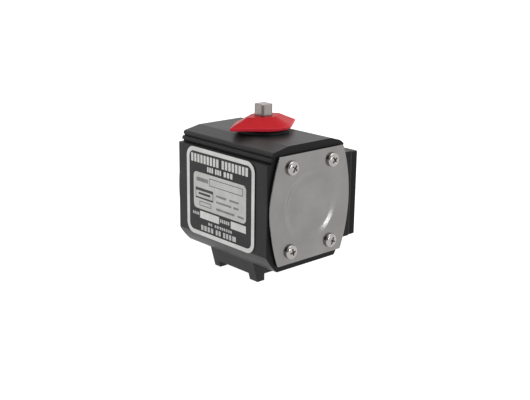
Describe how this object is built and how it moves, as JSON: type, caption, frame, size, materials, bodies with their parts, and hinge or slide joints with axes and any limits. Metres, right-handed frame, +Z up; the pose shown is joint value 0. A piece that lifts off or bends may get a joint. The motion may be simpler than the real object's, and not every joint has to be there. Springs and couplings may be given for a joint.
{
  "type": "rotary pneumatic actuator",
  "caption": "Compact double-acting rack and pinion actuator: black housing, dished steel end caps, red position pointer, square drive shaft.",
  "frame": {"origin": "where the drive shaft axis meets the valve mounting face under the housing", "axes": "+X along the cylinder towards the front end cap, +Y towards the port plate, +Z up the drive shaft towards the position pointer"},
  "size_m": [0.0968, 0.0806, 0.1113],
  "materials": {
    "black_anodised": "black anodised, satin, extruded and machined",
    "stainless_sheet": "stainless sheet, fine brushed",
    "zinc_screw": "stainless pan head screws",
    "black_rubber": "nitrile rubber, matt",
    "cast_piston": "machined die-cast aluminium",
    "guide_plastic": "natural acetal",
    "shaft_steel": "turned steel",
    "spring_steel": "phosphated spring steel",
    "black_plastic": "moulded nylon, satin",
    "red_plastic": "moulded red plastic, satin",
    "plate_print": "printed aluminium foil label"
  },
  "bodies": {
    "housing": {"body_housing": "black_anodised", "end_cap_front": "stainless_sheet", "end_cap_rear": "stainless_sheet", "end_cap_gasket_front": "black_rubber", "end_cap_gasket_rear": "black_rubber", "end_cap_screws_front": "zinc_screw", "end_cap_screws_rear": "zinc_screw", "upper_bush": "guide_plastic", "lower_bush": "guide_plastic", "thrust_washer": "guide_plastic", "dial_ring": "black_plastic", "nameplate": "plate_print", "port_plate": "black_anodised", "port_plate_gasket": "black_rubber", "port_plate_screws": "zinc_screw"},
    "drive": {"drive_shaft": "shaft_steel", "upper_shaft_seal": "black_rubber", "lower_shaft_seal": "black_rubber", "snap_ring": "spring_steel", "position_indicator": "red_plastic"},
    "front_piston": {"piston_front": "cast_piston", "piston_seal_front": "black_rubber", "piston_wear_ring_front": "guide_plastic", "rack_guide_front": "guide_plastic"},
    "rear_piston": {"piston_rear": "cast_piston", "piston_seal_rear": "black_rubber", "piston_wear_ring_rear": "guide_plastic", "rack_guide_rear": "guide_plastic"}
  },
  "joints": [
    {"name": "shaft_turn", "type": "hinge", "parent": "housing", "child": "drive", "pos_m": [0, 0, 0.0485], "axis": [0, 0, 1], "range_deg": [-88, 2]},
    {"name": "front_piston_slide", "type": "slide", "parent": "housing", "child": "front_piston", "axis": [1, 0, 0], "range_m": [-0.01382, 0.00032]},
    {"name": "rear_piston_slide", "type": "slide", "parent": "housing", "child": "rear_piston", "axis": [-1, 0, 0], "range_m": [-0.01382, 0.00032]}
  ],
  "couplings": [
    {"joint": "front_piston_slide", "follows": "shaft_turn", "m_per_rad": 0.009},
    {"joint": "rear_piston_slide", "follows": "shaft_turn", "m_per_rad": 0.009}
  ]
}
